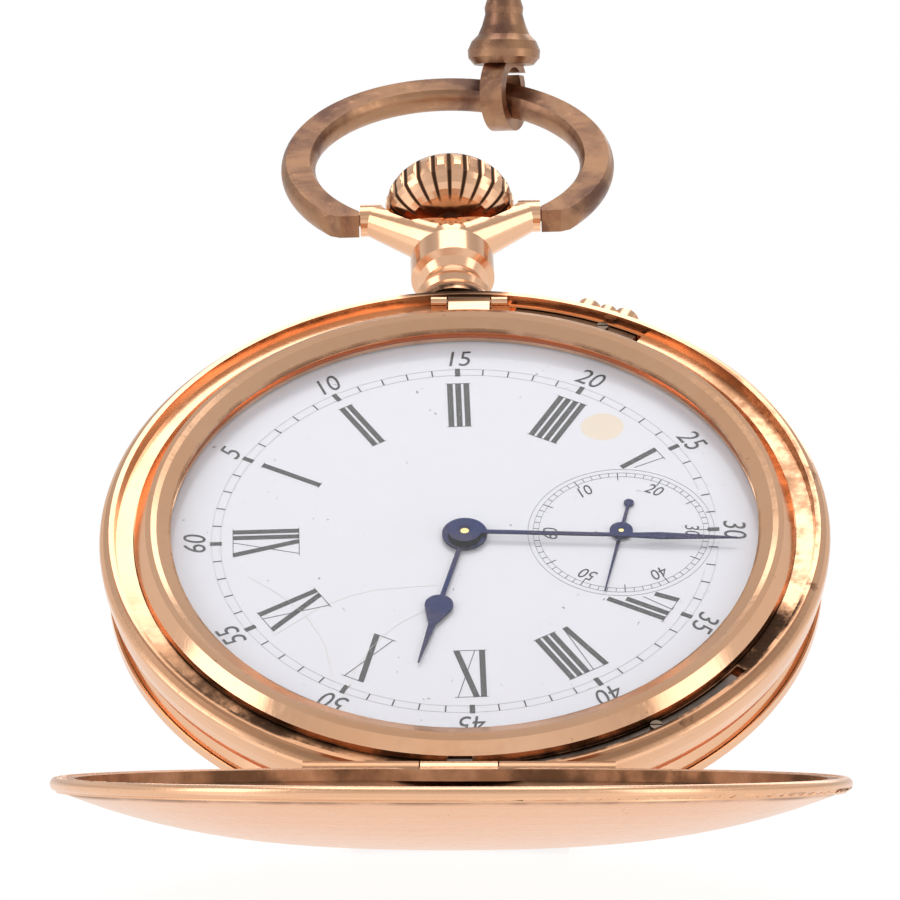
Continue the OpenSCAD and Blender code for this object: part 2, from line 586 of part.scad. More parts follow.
module train_bridge() color("gainsboro") stem_frame() difference() {
    union() {
        translate([0, 0, train_bridge_out]) linear_extrude(train_bridge_in - train_bridge_out) union() {
            intersection() {
                circle(r = plate_r - 0.3);
                translate([0, -3.9]) square([30, 15.9]);
            }
            circle(r = 2.1);
            translate(escape_at) circle(r = 1.55);
            translate([escape_at.x - 0.4, escape_at.y]) square([1.9, 3]);
        }
        for (i = [2, 3]) at(bridge_bolts[i]) disc(1, train_bridge_in - eps, plate_back);
        disc(1.2, train_bridge_in - eps, -3.95);
    }
    disc(0.25 + fit, -8, 0);
    at(third_at) disc(0.18 + fit, -8, 0);
    at(fourth_at) disc(0.18 + fit, -8, 0);
    at(escape_at) disc(0.15 + fit, -8, 0);
    bolt_holes(2, 3);
}
module pallet_bridge() color("gainsboro") stem_frame() difference() {
    union() {
        hull() {
            at(pallet_at) translate([0, 0, pallet_bridge_z]) cylinder(r = 0.9, h = 0.25, $fn = 32);
            at(cock_foot) translate([0, 0, pallet_bridge_z]) cylinder(r = 1.2, h = 0.25, $fn = 32);
        }
        at(cock_foot) disc(1.1, pallet_bridge_z + 0.2, plate_back);
    }
    at(pallet_at) disc(0.15 + fit, -8, 0);
    at(cock_foot) disc(0.3, -8, 0);
}
module balance_cock() color("gainsboro") stem_frame() difference() {
    union() {
        hull() {
            at(balance_at) translate([0, 0, cock_out]) cylinder(r = 2.3, h = cock_in - cock_out, $fn = 32);
            at(bridge_bolts[4]) translate([0, 0, cock_out]) cylinder(r = 1.6, h = cock_in - cock_out, $fn = 32);
            at(bridge_bolts[5]) translate([0, 0, cock_out]) cylinder(r = 1.6, h = cock_in - cock_out, $fn = 32);
        }
        for (i = [4, 5]) at(bridge_bolts[i]) disc(0.9, cock_in - eps, plate_back);
    }
    at(balance_at) disc(0.15 + fit, -8, 0);
    bolt_holes(4, 5);
}
module bridge_screws() color("steelblue") stem_frame() {
    for (i = [0 : 1]) at(bridge_bolts[i], barrel_bridge_out) screw(0.75, 0.28, 0.28, 3);
    for (i = [2 : 3]) at(bridge_bolts[i], train_bridge_out) screw(0.75, 0.28, 0.28, 3);
    for (i = [4 : 5]) at(bridge_bolts[i], cock_out) screw(0.7, 0.2, 0.28, 3.4);
    at(cock_foot, pallet_bridge_z) screw(0.7, 0.28, 0.26, 1.1);
}
module case_screws() color("steelblue") stem_frame() for (a = [200, 330])
    rotate([0, 0, a]) translate([20.3, 0, plate_back - eps]) difference() {
        screw(0.9, 0.35, 0.3, 0);
        translate([0.55, -2, -2]) cube([2, 4, 4]);
    }
module jewels() color("crimson") stem_frame() {
    at(third_at, train_bridge_out - 0.05) ring(0.62, 0.18 + fit, 0, 0.05);
    at(fourth_at, train_bridge_out - 0.05) ring(0.62, 0.18 + fit, 0, 0.05);
    at(escape_at, train_bridge_out - 0.05) ring(0.5, 0.15 + fit, 0, 0.05);
    at(pallet_at, pallet_bridge_z - 0.05) ring(0.4, 0.15 + fit, 0, 0.05);
}

// ---------- Train, escapement and balance ----------
module barrel() color("gold") stem_frame() at(barrel_at) difference() {
    union() {
        toothed(barrel_teeth, 8.75, 0.4, barrel_top, barrel_top + 0.5, 0.8);
        disc(8.1, barrel_top, barrel_floor - 0.04);
    }
    disc(7.7, barrel_top + 0.25, barrel_floor - 0.3);
    disc(0.8, -8, 0);
}
module mainspring() color("slategray") stem_frame() at(barrel_at) for (r = [3.2, 4.1, 5, 5.9, 6.8])
    ring(r + 0.12, r - 0.12, barrel_top + 0.35, barrel_floor - 0.4);
module barrel_arbor() color("silver") stem_frame() at(barrel_at) {
    disc(0.5, -5.5, plate_front - 0.1);
    ring(2.2, 0.5 - eps, barrel_top + 0.3, barrel_floor - 0.35);
    disc(0.7, -5.34, barrel_top - 0.05);
}
module centre_wheel() color("gold") stem_frame() {
    train_wheel(centre_teeth, 7.56, centre_wheel_z, 0.25, 0.45);
    toothed(centre_pinion_teeth, 1.0, 0.25, centre_wheel_z, -2.75, 0.29);
    disc(0.3, -2.8, 0.12);
    disc(0.25, train_bridge_out - 0.02, -2.6);
}
module third_wheel() color("gold") stem_frame() at(third_at) {
    train_wheel(third_teeth, 6.3, third_wheel_z, 0.2, 0.35);
    toothed(third_pinion_teeth, 0.9, 0.25, third_wheel_z, -3.5, 0.15);
    disc(0.18, train_bridge_out - 0.02, -2.6);
}
module fourth_wheel() color("gold") stem_frame() at(fourth_at) {
    train_wheel(fourth_teeth, 5.2, fourth_wheel_z, 0.18, 0.35);
    toothed(fourth_pinion_teeth, 0.82, 0.2, fourth_wheel_z, -3.98, 0.15);
    disc(0.18, train_bridge_out - 0.02, -0.28);
}
module escape_wheel() color("gold") stem_frame() at(escape_at) {
    difference() {
        toothed(15, 2.75, 0.7, escape_wheel_z, escape_wheel_z + 0.18, 0.14);
        for (a = [0 : 60 : 300]) rotate([0, 0, a]) translate([1.25, 0]) disc(0.42, -8, 0);
    }
    toothed(escape_pinion_teeth, 0.5, 0.16, escape_pinion_z, escape_wheel_z, 0.12);
    disc(0.14, train_bridge_out - 0.02, -2.6);
}
module pallet_fork() color("silver") stem_frame() at(pallet_at) rotate([0, 0, 45]) {
    translate([0, 0, -4.1]) linear_extrude(0.16) difference() {
        polygon([[-0.35, -1.7], [0.3, -1.75], [0.35, 1.75], [-0.35, 1.7], [-0.45, 0.35], [-3.2, 0.14], [-3.6, 0.5],
            [-3.75, 0.42], [-3.5, 0], [-3.75, -0.42], [-3.6, -0.5], [-3.2, -0.14], [-0.45, -0.35]]);
        circle(r = 0.14);
    }
    disc(0.14, pallet_bridge_z - 0.02, -2.6);
}
module balance_wheel() color("gold") stem_frame() at(balance_at) {
    ring(balance_r, balance_r - 0.6, balance_z, balance_z + 0.3);
    translate([-balance_r + 0.3, -0.3, balance_z]) cube([2 * balance_r - 0.6, 0.6, 0.3]);
    for (a = [15 : 30 : 345]) if (abs(a - 180) > 20)
        rotate([0, 0, a]) translate([balance_r - 0.15, 0, balance_z + 0.15]) bar(0.14, 0.6);
    disc(0.3, -5.15, -3.15);
    disc(0.14, cock_out + 0.1, -2.6);
    disc(0.95, roller_z, roller_z + 0.2);
}
module hairspring() color("steelblue") stem_frame() at(balance_at) {
    for (r = [0.9, 1.5, 2.1, 2.7]) ring(r + 0.05, r - 0.05, hairspring_z, hairspring_z + 0.1);
    translate([0.32, -0.05, hairspring_z]) cube([2.4, 0.1, 0.1]);
    ring(0.62, 0.3 - eps, hairspring_z - 0.05, hairspring_z + 0.12);
}
module regulator() color("silver") stem_frame() at(balance_at) rotate([0, 0, 100]) difference() {
    union() {
        disc(1.3, cock_out - 0.16, cock_out - 0.02);
        translate([0, 0, cock_out - 0.16]) linear_extrude(0.14)
            polygon([[0.8, -0.35], [6.2, -0.1], [6.2, 0.1], [0.8, 0.35]]);
    }
    disc(0.5, -8, 0);
}

// ---------- Winding and setting work ----------
module ratchet_wheel() color("silver") stem_frame() at(barrel_at) {
    toothed(ratchet_teeth, 4.45, 0.35, top_wheel_out, top_wheel_in, 0.5 - eps);
    translate([0, 0, top_wheel_out]) screw(1.3, 0.2, 0.3, 0.1);
}
module crown_wheel() color("silver") stem_frame() at(crown_wheel_at) {
    toothed(crown_wheel_teeth, 3.45, 0.35, top_wheel_out, top_wheel_in, 0.2);
    disc(0.7, top_wheel_in - eps, barrel_bridge_in);
    translate([0, 0, top_wheel_out]) screw(1.2, 0.2, 0.3, 0.1);
}
module click() color("silver") stem_frame() at(click_at, top_wheel_out) difference() {
    linear_extrude(0.3) polygon([[-0.7, -0.7], [0.7, -0.7], [1.3, 0.55], [1.2, 0.75], [-0.7, 0.7]]);
    disc(0.22 + fit, -1, 1);
}
module click_spring() color("steelblue") stem_frame() at(click_at, top_wheel_out) {
    translate([-2.1, -0.5, 0.05]) cube([0.9, 3.4, 0.3]);
    translate([0, 0, -0.02]) disc(0.22, 0, 0.38);
}
module winding_pinion() color("silver") stem_frame() translate([0, 0, pendant_z]) difference() {
    translate([0, 18.2, 0]) rotate([-90, 0, 0]) toothed(18, 1.08, 0.22, 0, 1.5, 0.3);
    rod(0.62, 10, 25);
}
module clutch_wheel() color("silver") stem_frame() translate([0, 0, pendant_z]) difference() {
    union() {
        rod(0.95, 14.4, 17.9);
        rod(1.08, 16.9, 17.9);
    }
    rod(0.62, 10, 25);
}

// ---------- Swivel of the chain, on the bow ----------
module swivel_hook() color("rosybrown") swivel_frame() difference() {
    union() {
        // strap that goes under the wire, open at the back for the gate
        rotate([0, 90, 0]) rotate([0, 0, 90]) rotate_extrude(angle = 360) translate([hook_in_r, -hook_w / 2])
            square([hook_out_r - hook_in_r, hook_w]);
        translate([0, 0, bell_low - 0.4]) rotate_extrude() polygon([[0, 0], [2.3, 0], [2.75, 0.5], [2.8, 1.1],
            [2.5, 1.8], [2, 2.3], [1.7, 3], [1.45, 3.9], [0, 3.9]]);
    }
    // gap for the gate, behind
    translate([-2, 0.9, -0.9]) cube([4, 3, 2.6]);
    bar(hook_in_r, 8);
    translate([0, 0, bell_low + 2]) cylinder(r = 0.5 + fit, h = 3);
    translate([0, 0, bell_low + 2]) cylinder(r = 0.95, h = 0.7);
}
module swivel_gate() color("rosybrown") swivel_frame() difference() {
    translate([0, 0, -0.8]) intersection() {
        translate([-0.7, 1.2, 0]) cube([1.4, 1.6, 2.3]);
        translate([0, 0, 0.8]) difference() {
            bar(hook_out_r, 3);
            bar(hook_in_r + 0.02, 4);
        }
    }
    bar(hook_in_r, 8);
}
module swivel_eye() color("rosybrown") swivel_frame() difference() {
    union() {
        translate([0, 0, bell_low + 2.08]) cylinder(r = 0.85, h = 0.5);
        translate([0, 0, bell_low + 2.1]) cylinder(r = 0.5, h = eye_up - bell_low - 3.3);
        translate([0, 0, neck_low]) rotate_extrude() polygon([[0, 0], [1.45, 0], [1.5, 0.5], [1.2, 1.5], [1, 2.6], [0, 2.8]]);
        translate([0, 0, eye_up]) rotate([0, 0, -hook_twist]) bar(eye_out_r, eye_w);
    }
    translate([0, 0, eye_up]) rotate([0, 0, -hook_twist]) bar(eye_r, eye_w + 2);
}

// ---------- What is drawn ----------
case_band();
pendant();
pusher_guard();
lift_spring();
lock_spring();
spring_screws();
front_hinge_pin();
back_hinge_pin();
dust_hinge_pin();
bezel_hinge_pin();
dial();
main_plate();
barrel_bridge();
train_bridge();
pallet_bridge();
balance_cock();
bridge_screws();
case_screws();
jewels();
click_spring();
mainspring();
front_cover();
back_cover();
dust_cover();
bezel();
crystal();
setting_pusher();
crown_sleeve();
winding_stem();
crown();
bow();
hour_hand();
minute_hand();
seconds_hand();
cannon_pinion();
minute_wheel();
hour_wheel();
barrel();
barrel_arbor();
centre_wheel();
third_wheel();
fourth_wheel();
escape_wheel();
pallet_fork();
balance_wheel();
hairspring();
regulator();
ratchet_wheel();
crown_wheel();
click();
winding_pinion();
clutch_wheel();
swivel_hook();
swivel_gate();
swivel_eye();
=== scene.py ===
import json
import math
import random
import bpy
from mathutils import Matrix, Vector


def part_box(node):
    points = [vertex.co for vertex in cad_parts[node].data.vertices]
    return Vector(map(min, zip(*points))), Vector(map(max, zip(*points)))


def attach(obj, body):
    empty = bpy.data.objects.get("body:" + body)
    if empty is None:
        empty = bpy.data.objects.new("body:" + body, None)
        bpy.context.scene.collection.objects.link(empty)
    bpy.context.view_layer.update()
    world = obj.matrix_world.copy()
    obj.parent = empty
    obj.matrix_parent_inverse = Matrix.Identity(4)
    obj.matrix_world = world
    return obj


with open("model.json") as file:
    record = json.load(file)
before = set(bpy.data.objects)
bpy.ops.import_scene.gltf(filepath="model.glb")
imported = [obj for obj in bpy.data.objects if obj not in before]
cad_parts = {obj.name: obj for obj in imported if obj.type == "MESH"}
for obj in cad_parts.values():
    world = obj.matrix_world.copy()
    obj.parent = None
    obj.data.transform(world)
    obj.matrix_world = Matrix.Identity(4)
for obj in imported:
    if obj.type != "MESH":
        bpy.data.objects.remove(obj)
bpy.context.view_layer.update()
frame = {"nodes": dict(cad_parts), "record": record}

MM = 0.001
RECORD = frame["record"]
JOINTS = {joint["name"]: joint for joint in RECORD["behaviour"]["joints"]}
random.seed(7)

# ---------- The watch's own frame, in millimetres ----------
# X goes to the seconds dial, Y to the crown, and Z out of the dial.
CENTRE = Vector(JOINTS["hands_set"]["pos_m"])
UP = Vector(JOINTS["crown_turn"]["axis"]).normalized()
OUT = Vector(JOINTS["hands_set"]["axis"]).normalized()
RIGHT = UP.cross(OUT).normalized()
WATCH = Matrix.Translation(CENTRE) @ Matrix((RIGHT, UP, OUT)).transposed().to_4x4() @ Matrix.Scale(MM, 4)
WATCH_INV = WATCH.inverted()


def watch_box(node):
    """Lowest and highest corners of a node in the watch's frame, in millimetres."""
    points = [WATCH_INV @ v.co for v in frame["nodes"][node].data.vertices]
    low = Vector(min(p[i] for p in points) for i in range(3))
    high = Vector(max(p[i] for p in points) for i in range(3))
    return low, high


DIAL_Z = watch_box("dial")[1].z
SECONDS = WATCH_INV @ Vector(JOINTS["seconds_turn"]["pos_m"])


# ---------- Node helpers ----------
class Nodes:
    """A material under construction, with short calls for the nodes that it needs."""

    def __init__(self, name):
        self.material = bpy.data.materials.new(name)
        self.material.use_nodes = True
        self.tree = self.material.node_tree
        self.shader = self.tree.nodes["Principled BSDF"]
        self.coords = self.tree.nodes.new("ShaderNodeTexCoord").outputs["Object"]

    def link(self, source, target):
        if isinstance(source, (int, float)):
            target.default_value = source
        elif isinstance(source, tuple):
            target.default_value = (*source, 1.0) if len(source) == 3 else source
        else:
            self.tree.links.new(source, target)

    def math(self, operation, a, b=0.0, clamp=False):
        node = self.tree.nodes.new("ShaderNodeMath")
        node.operation = operation
        node.use_clamp = clamp
        self.link(a, node.inputs[0])
        self.link(b, node.inputs[1])
        return node.outputs[0]

    def times(self, a, b):
        return self.math("MULTIPLY", a, b)

    def plus(self, a, b):
        return self.math("ADD", a, b)

    def length(self, a, b):
        return self.math("SQRT", self.plus(self.times(a, a), self.times(b, b)))

    def most(self, first, *others):
        for other in others:
            first = self.math("MAXIMUM", first, other)
        return first

    def noise(self, scale, detail=4.0, rough=0.55, vector=None, distortion=0.0):
        node = self.tree.nodes.new("ShaderNodeTexNoise")
        node.inputs["Scale"].default_value = scale
        node.inputs["Detail"].default_value = detail
        node.inputs["Roughness"].default_value = rough
        node.inputs["Distortion"].default_value = distortion
        self.link(vector or self.coords, node.inputs["Vector"])
        return node.outputs["Fac"]

    def step(self, value, low, high):
        """0 below low and 1 above high, smooth between; low may be the greater one."""
        node = self.tree.nodes.new("ShaderNodeMapRange")
        node.interpolation_type = "SMOOTHSTEP"
        self.link(value, node.inputs["Value"])
        node.inputs["From Min"].default_value = low
        node.inputs["From Max"].default_value = high
        return node.outputs["Result"]

    def mix(self, factor, a, b):
        node = self.tree.nodes.new("ShaderNodeMix")
        node.data_type = "RGBA"
        self.link(factor, node.inputs["Factor"])
        self.link(a, node.inputs["A"])
        self.link(b, node.inputs["B"])
        return node.outputs["Result"]

    def range(self, value, low, high):
        return self.plus(self.times(value, high - low), low)

    def watch(self):
        """x, y, z and distance from the case's axis, in the watch's frame in millimetres."""
        turn = WATCH_INV.to_3x3().normalized().to_4x4() @ Matrix.Translation(-CENTRE)
        node = self.tree.nodes.new("ShaderNodeMapping")
        self.link(self.coords, node.inputs["Vector"])
        node.inputs["Rotation"].default_value = turn.to_euler()
        node.inputs["Location"].default_value = turn.translation / MM
        node.inputs["Scale"].default_value = (1 / MM, 1 / MM, 1 / MM)
        split = self.tree.nodes.new("ShaderNodeSeparateXYZ")
        self.link(node.outputs["Vector"], split.inputs[0])
        x, y, z = split.outputs
        return x, y, z, self.length(x, y)

    def bump(self, height, strength, distance):
        node = self.tree.nodes.new("ShaderNodeBump")
        node.inputs["Strength"].default_value = strength
        node.inputs["Distance"].default_value = distance
        self.link(height, node.inputs["Height"])
        self.link(node.outputs["Normal"], self.shader.inputs["Normal"])

    def done(self, colour, rough, metallic=1.0, **sockets):
        self.link(colour, self.shader.inputs["Base Color"])
        self.link(rough, self.shader.inputs["Roughness"])
        self.shader.inputs["Metallic"].default_value = metallic
        for name, value in sockets.items():
            self.shader.inputs[name.replace("_", " ")].default_value = value
        return self.material


# ---------- Materials ----------
# Places in the masks are in the watch's frame, in millimetres. A step goes from 0 at its first value to 1 at
# its second.
GOLD = (0.84, 0.50, 0.31)
GOLD_WARM = (0.78, 0.38, 0.17)
# Near black, used for grime and for painted shade in hollows and joints
GRIME_AND_SHADE = (0.045, 0.022, 0.012)
COVER_R = 26.0           # millimetres
CROWN_FLUTES = 24.0
BROWN = (0.33, 0.165, 0.085)
RUST = (0.30, 0.13, 0.05)


def scratches(nodes, scale):
    """Fine stretched noise, as of wiping and handling marks."""
    stretch = nodes.tree.nodes.new("ShaderNodeMapping")
    nodes.link(nodes.coords, stretch.inputs["Vector"])
    stretch.inputs["Scale"].default_value = (1.0, 7.0, 1.0)
    stretch.inputs["Rotation"].default_value = (0.3, 0.5, 0.8)
    return nodes.noise(scale, 6.0, 0.7, stretch.outputs["Vector"])


def rose_gold(name, dirt_and_shade=None, rough=(0.13, 0.26), warm=0.35):
    """Worn polished rose gold. The optional mask function takes the nodes and gives a 0 to 1 mask of grime,
    painted shade and painted dark reflection, which turns the gold brown and then near black.
    """
    n = Nodes(name)
    cloud = n.noise(90.0, 5.0)
    colour = n.mix(n.times(n.step(cloud, 0.45, 0.72), warm), GOLD, GOLD_WARM)
    marks = scratches(n, 900.0)
    roughness = n.range(n.step(marks, 0.3, 0.8), *rough)
    pits = n.step(n.noise(2200.0, 2.0), 0.72, 0.78)
    colour = n.mix(n.times(pits, 0.6), colour, RUST)
    if dirt_and_shade:
        # Painted shade and painted dark reflection, with grime: the mask browns the gold, then blackens it
        mask = dirt_and_shade(n)
        colour = n.mix(n.times(n.step(mask, 0.0, 0.5), 0.85), colour, BROWN)
        colour = n.mix(n.step(mask, 0.45, 0.95), colour, GRIME_AND_SHADE)
        roughness = n.math("ADD", roughness, n.times(mask, 0.4), clamp=True)
    n.bump(n.plus(cloud, n.times(marks, 0.3)), 0.12, 0.00006)
    return n.done(colour, roughness)


def band_dirt(n):
    """Grime in patches and painted shade in the ledge, heavy towards the bottom and the cover hinge; worn
    patches on the rim and the side, with painted shade on the rim towards the bottom; painted shade at the
    pendant's foot.
    """
    x, y, z, radius = n.watch()
    patches = n.step(n.noise(200.0, 6.0, 0.65), 0.35, 0.62)
    front = n.step(z, -0.7, -0.3)
    # Painted shade in the ledge, the recess inside the rim
    ledge = n.times(n.step(radius, 25.45, 25.0), front)
    # Painted shade: darker towards the bottom of the case
    low = n.step(y, -2.0, -18.0)
    side = n.times(n.step(x, 15.0, 22.0), 0.5)
    reach = n.math("ADD", n.times(low, 0.7), n.plus(side, 0.1), clamp=True)
    black = n.times(low, n.plus(n.times(patches, 0.5), 0.4))
    inner = n.times(ledge, n.most(n.times(patches, reach), black))
    worn = n.step(n.noise(240.0, 7.0, 0.7), 0.56, 0.68)
    # Worn patches on the rim, plus painted shade on the rim towards the bottom
    rim = n.times(n.step(radius, 26.1, 25.6), front)
    wear = n.most(n.times(worn, n.plus(side, 0.15)), n.times(low, 0.45))
    rim = n.times(rim, n.plus(wear, n.times(n.times(worn, low), 0.3)))
    # Painted shade where the pendant's foot meets the band, and at the cover hinge
    foot = n.times(n.step(y, 24.3, 25.3), n.step(n.math("ABSOLUTE", x), 4.6, 3.3))
    hinge = n.times(n.step(y, -24.9, -25.5), 0.35)
    return n.most(inner, rim, foot, hinge)


def cover_dirt(n):
    """Painted dark reflection, brown in patches, inside the open front cover's lip."""
    low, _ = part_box("front_cover")
    hinge = JOINTS["front_cover_hinge"]["pos_m"]
    split = n.tree.nodes.new("ShaderNodeSeparateXYZ")
    n.link(n.coords, split.inputs[0])
    x, y, z = split.outputs
    x = n.math("SUBTRACT", x, hinge[0])
    y = n.math("SUBTRACT", y, low[1] + COVER_R * MM)
    radius = n.length(x, y)
    inside = n.times(n.step(radius, 0.0254, 0.0250), n.step(z, hinge[2] - 0.0009, hinge[2] - 0.0005))
    patches = n.range(n.step(n.noise(150.0, 6.0, 0.6), 0.35, 0.65), 0.25, 0.75)
    return n.times(inside, patches)


def bezel_dirt(n):
    """Painted shade in patches where the bezel meets the ledge and at its hinge, and a thin line of painted
    shade beside the glass.
    """
    _, y, z, radius = n.watch()
    foot = n.times(n.step(z, 0.42, 0.18), n.step(radius, 23.2, 23.5))
    glass = n.times(n.step(radius, 21.15, 20.95), 0.5)
    edge = n.times(n.most(foot, glass), n.step(n.noise(200.0, 5.0), 0.3, 0.6))
    return n.most(edge, n.times(n.step(y, 23.9, 24.3), 0.8))


def pendant_dirt(n):
    """Painted shade in patches at the foot of the pendant and under its rings."""
    _, y, _, _ = n.watch()
    patches = n.step(n.noise(420.0, 6.0), 0.3, 0.6)
    foot = n.step(y, 27.0, 25.6)
    rings = n.times(n.times(n.step(y, 28.1, 28.6), n.step(y, 29.4, 28.9)), 0.35)
    return n.times(n.most(foot, rings), patches)


def crown_dirt(n):
    """Painted shade, near black, in the bottoms of the crown's 24 flutes."""
    x, _, z, _ = n.watch()
    low, high = watch_box("crown")
    z = n.math("SUBTRACT", z, (low.z + high.z) / 2)
    radius = n.length(x, z)
    angle = n.times(n.math("ARCTAN2", z, x), CROWN_FLUTES)
    groove = n.step(n.math("COSINE", angle), 0.35, 0.92)
    return n.times(groove, n.times(n.step(radius, 2.4, 3.4), 0.9))


def aged_bronze():
    """The bow and clasp: rose gold gone brown, with dark purple patches and rubbed highlights."""
    n = Nodes("aged_bronze")
    patch = n.step(n.noise(150.0, 6.0, 0.6, distortion=0.6), 0.4, 0.66)
    fine = n.noise(900.0, 6.0, 0.7)
    colour = n.mix(patch, (0.40, 0.215, 0.12), (0.17, 0.085, 0.06))
    colour = n.mix(n.step(fine, 0.58, 0.75), colour, (0.55, 0.32, 0.19))
    n.bump(fine, 0.25, 0.00008)
    return n.done(colour, n.range(n.step(fine, 0.3, 0.75), 0.26, 0.5))


def blued_steel():
    n = Nodes("blued_steel")
    heat = n.noise(240.0, 3.0)
    colour = n.mix(n.step(heat, 0.35, 0.65), (0.008, 0.014, 0.055), (0.028, 0.024, 0.05))
    return n.done(colour, n.range(heat, 0.18, 0.36))


def enamel():
    """Fired white enamel with specks of dirt, stains and a cream repair between four and five."""
    n = Nodes("enamel")
    x, y, _, _ = n.watch()
    specks = n.step(n.noise(1900.0, 3.0, 0.6), 0.70, 0.735)
    stains = n.times(n.step(n.noise(120.0, 5.0), 0.55, 0.8), 0.12)
    colour = n.mix(stains, (0.70, 0.70, 0.755), (0.52, 0.47, 0.42))
    spot_x = n.math("DIVIDE", n.math("SUBTRACT", x, 10.3), 1.6)
    spot_y = n.math("DIVIDE", n.math("SUBTRACT", y, 11.3), 1.45)
    spot = n.plus(n.times(spot_x, spot_x), n.times(spot_y, spot_y))
    spot = n.plus(spot, n.times(n.noise(700.0, 4.0), 0.5))
    colour = n.mix(n.step(spot, 1.35, 1.1), colour, (0.75, 0.63, 0.50))
    colour = n.mix(n.times(specks, 0.8), colour, (0.12, 0.09, 0.07))
    n.bump(n.noise(160.0, 2.0), 0.04, 0.00005)
    return n.done(colour, n.range(n.noise(700.0, 5.0), 0.08, 0.2), 0.0)


def brushed(name, light, dark, scale=500.0, rough=(0.22, 0.4), metallic=1.0):
    """A plain metal with fine brushing and slight tarnish."""
    n = Nodes(name)
    marks = scratches(n, scale)
    colour = n.mix(n.step(n.noise(180.0, 5.0), 0.4, 0.75), light, dark)
    n.bump(marks, 0.15, 0.00004)
    return n.done(colour, n.range(marks, *rough), metallic)


def striped_nickel():
    """Nickelled bridges with the broad stripes of a watch movement."""
    n = Nodes("striped_nickel")
    x, y, _, _ = n.watch()
    across = n.plus(n.times(x, 0.8), n.times(y, 0.6))
    stripe = n.math("ABSOLUTE", n.math("SINE", n.times(across, 1.9)))
    colour = n.mix(n.times(stripe, 0.5), (0.72, 0.69, 0.62), (0.55, 0.52, 0.47))
    n.bump(stripe, 0.2, 0.00005)
    return n.done(colour, n.range(scratches(n, 500.0), 0.2, 0.4))


def crystal():
    n = Nodes("crystal")
    return n.done((0.96, 0.98, 1.0), n.range(n.noise(400.0, 4.0), 0.02, 0.07), 0.0, Alpha=0.03)


def printed_ink():
    n = Nodes("printed_ink")
    wear = n.step(n.noise(1800.0, 4.0), 0.62, 0.72)
    return n.done(n.mix(wear, (0.012, 0.011, 0.013), (0.10, 0.095, 0.10)), n.range(wear, 0.3, 0.5), 0.0)


def ruby():
    n = Nodes("ruby")
    return n.done(n.mix(n.noise(800.0), (0.5, 0.01, 0.05), (0.7, 0.04, 0.12)), 0.1, 0.0)


def hairline():
    n = Nodes("hairline")
    return n.done(n.mix(n.noise(900.0), (0.62, 0.56, 0.50), (0.78, 0.76, 0.74)), 0.5, 0.0)


SLOT_MATERIALS = {
    "rose_gold": rose_gold("rose_gold"),
    "gilt": brushed("gilt", (0.85, 0.62, 0.28), (0.70, 0.45, 0.18)),
    "hinge_metal": brushed("hinge_metal", (0.40, 0.24, 0.14), (0.10, 0.06, 0.05)),
    "aged_bronze": aged_bronze(),
    "blued_steel": blued_steel(),
    "steel": brushed("steel", (0.62, 0.62, 0.64), (0.40, 0.38, 0.36)),
    "nickel": striped_nickel(),
    "brass": brushed("brass", (0.83, 0.62, 0.26), (0.62, 0.42, 0.16)),
    "enamel": enamel(),
    "crystal": crystal(),
    "ruby": ruby(),
}
SPECIAL = {
    # The band's mask paints grime and shade, those of the bezel, pendant and crown paint shade, and the
    # cover's paints a dark reflection
    "case_band": rose_gold("band_gold", band_dirt),
    "bezel": rose_gold("bezel_gold", bezel_dirt, (0.10, 0.22)),
    "pendant": rose_gold("pendant_gold", pendant_dirt),
    "crown": rose_gold("crown_gold", crown_dirt),
    "front_cover": rose_gold("cover_gold", cover_dirt, (0.2, 0.34), 0.2),
    "cannon_pinion": SLOT_MATERIALS["blued_steel"],
    "lift_spring": brushed("spring_steel", (0.10, 0.08, 0.07), (0.03, 0.025, 0.02)),
    "lock_spring": brushed("lock_steel", (0.20, 0.14, 0.10), (0.05, 0.04, 0.03)),
    "spring_screws": brushed("screw_steel", (0.16, 0.12, 0.09), (0.05, 0.04, 0.03)),
}
# Widths of the rounded edges in millimetres, on edges sharper than SHARP_ANGLE
BEVELS = {
    "case_band": 0.08, "pendant": 0.12, "front_cover": 0.08, "back_cover": 0.08, "pusher_guard": 0.25,
    "bezel": 0.06, "swivel_gate": 0.12, "setting_pusher": 0.15, "hour_hand": 0.02, "minute_hand": 0.02,
    "seconds_hand": 0.015, "main_plate": 0.05, "barrel_bridge": 0.1, "train_bridge": 0.1, "balance_cock": 0.1,
    "pallet_bridge": 0.06, "ratchet_wheel": 0.03, "crown_wheel": 0.03, "balance_wheel": 0.03,
}
# The same for round pieces, where the slight edges between their faces are rounded too
SOFT_BEVELS = {"crown": 0.25, "bow": 0.5, "swivel_hook": 0.3, "swivel_eye": 0.3}
SHARP_ANGLE = math.radians(32)
SOFT_ANGLE = math.radians(7)
BEVEL_SEGMENTS = 3


def dress_cad_nodes():
    """Gives every carried-over node its material, and rounds the edges of those in the tables above."""
    for part in RECORD["subparts"]:
        name = part["node"]
        node = frame["nodes"][name]
        if not node.material_slots:
            node.data.materials.append(None)
        material = SPECIAL.get(name, SLOT_MATERIALS[part["material_slot"]])
        for place in node.material_slots:
            place.material = material
        if name in BEVELS or name in SOFT_BEVELS:
            bevel = node.modifiers.new("soft_edges", "BEVEL")
            bevel.width = (SOFT_BEVELS.get(name) or BEVELS[name]) * MM
            bevel.segments = BEVEL_SEGMENTS
            bevel.limit_method = "ANGLE"
            bevel.angle_limit = SOFT_ANGLE if name in SOFT_BEVELS else SHARP_ANGLE


# ---------- Flat printed shapes on the dial, in millimetres ----------
INK_T = 0.012
INK_LIFT = 0.003
INK_BOTTOM = DIAL_Z + INK_LIFT
INK_TOP = INK_BOTTOM + INK_T


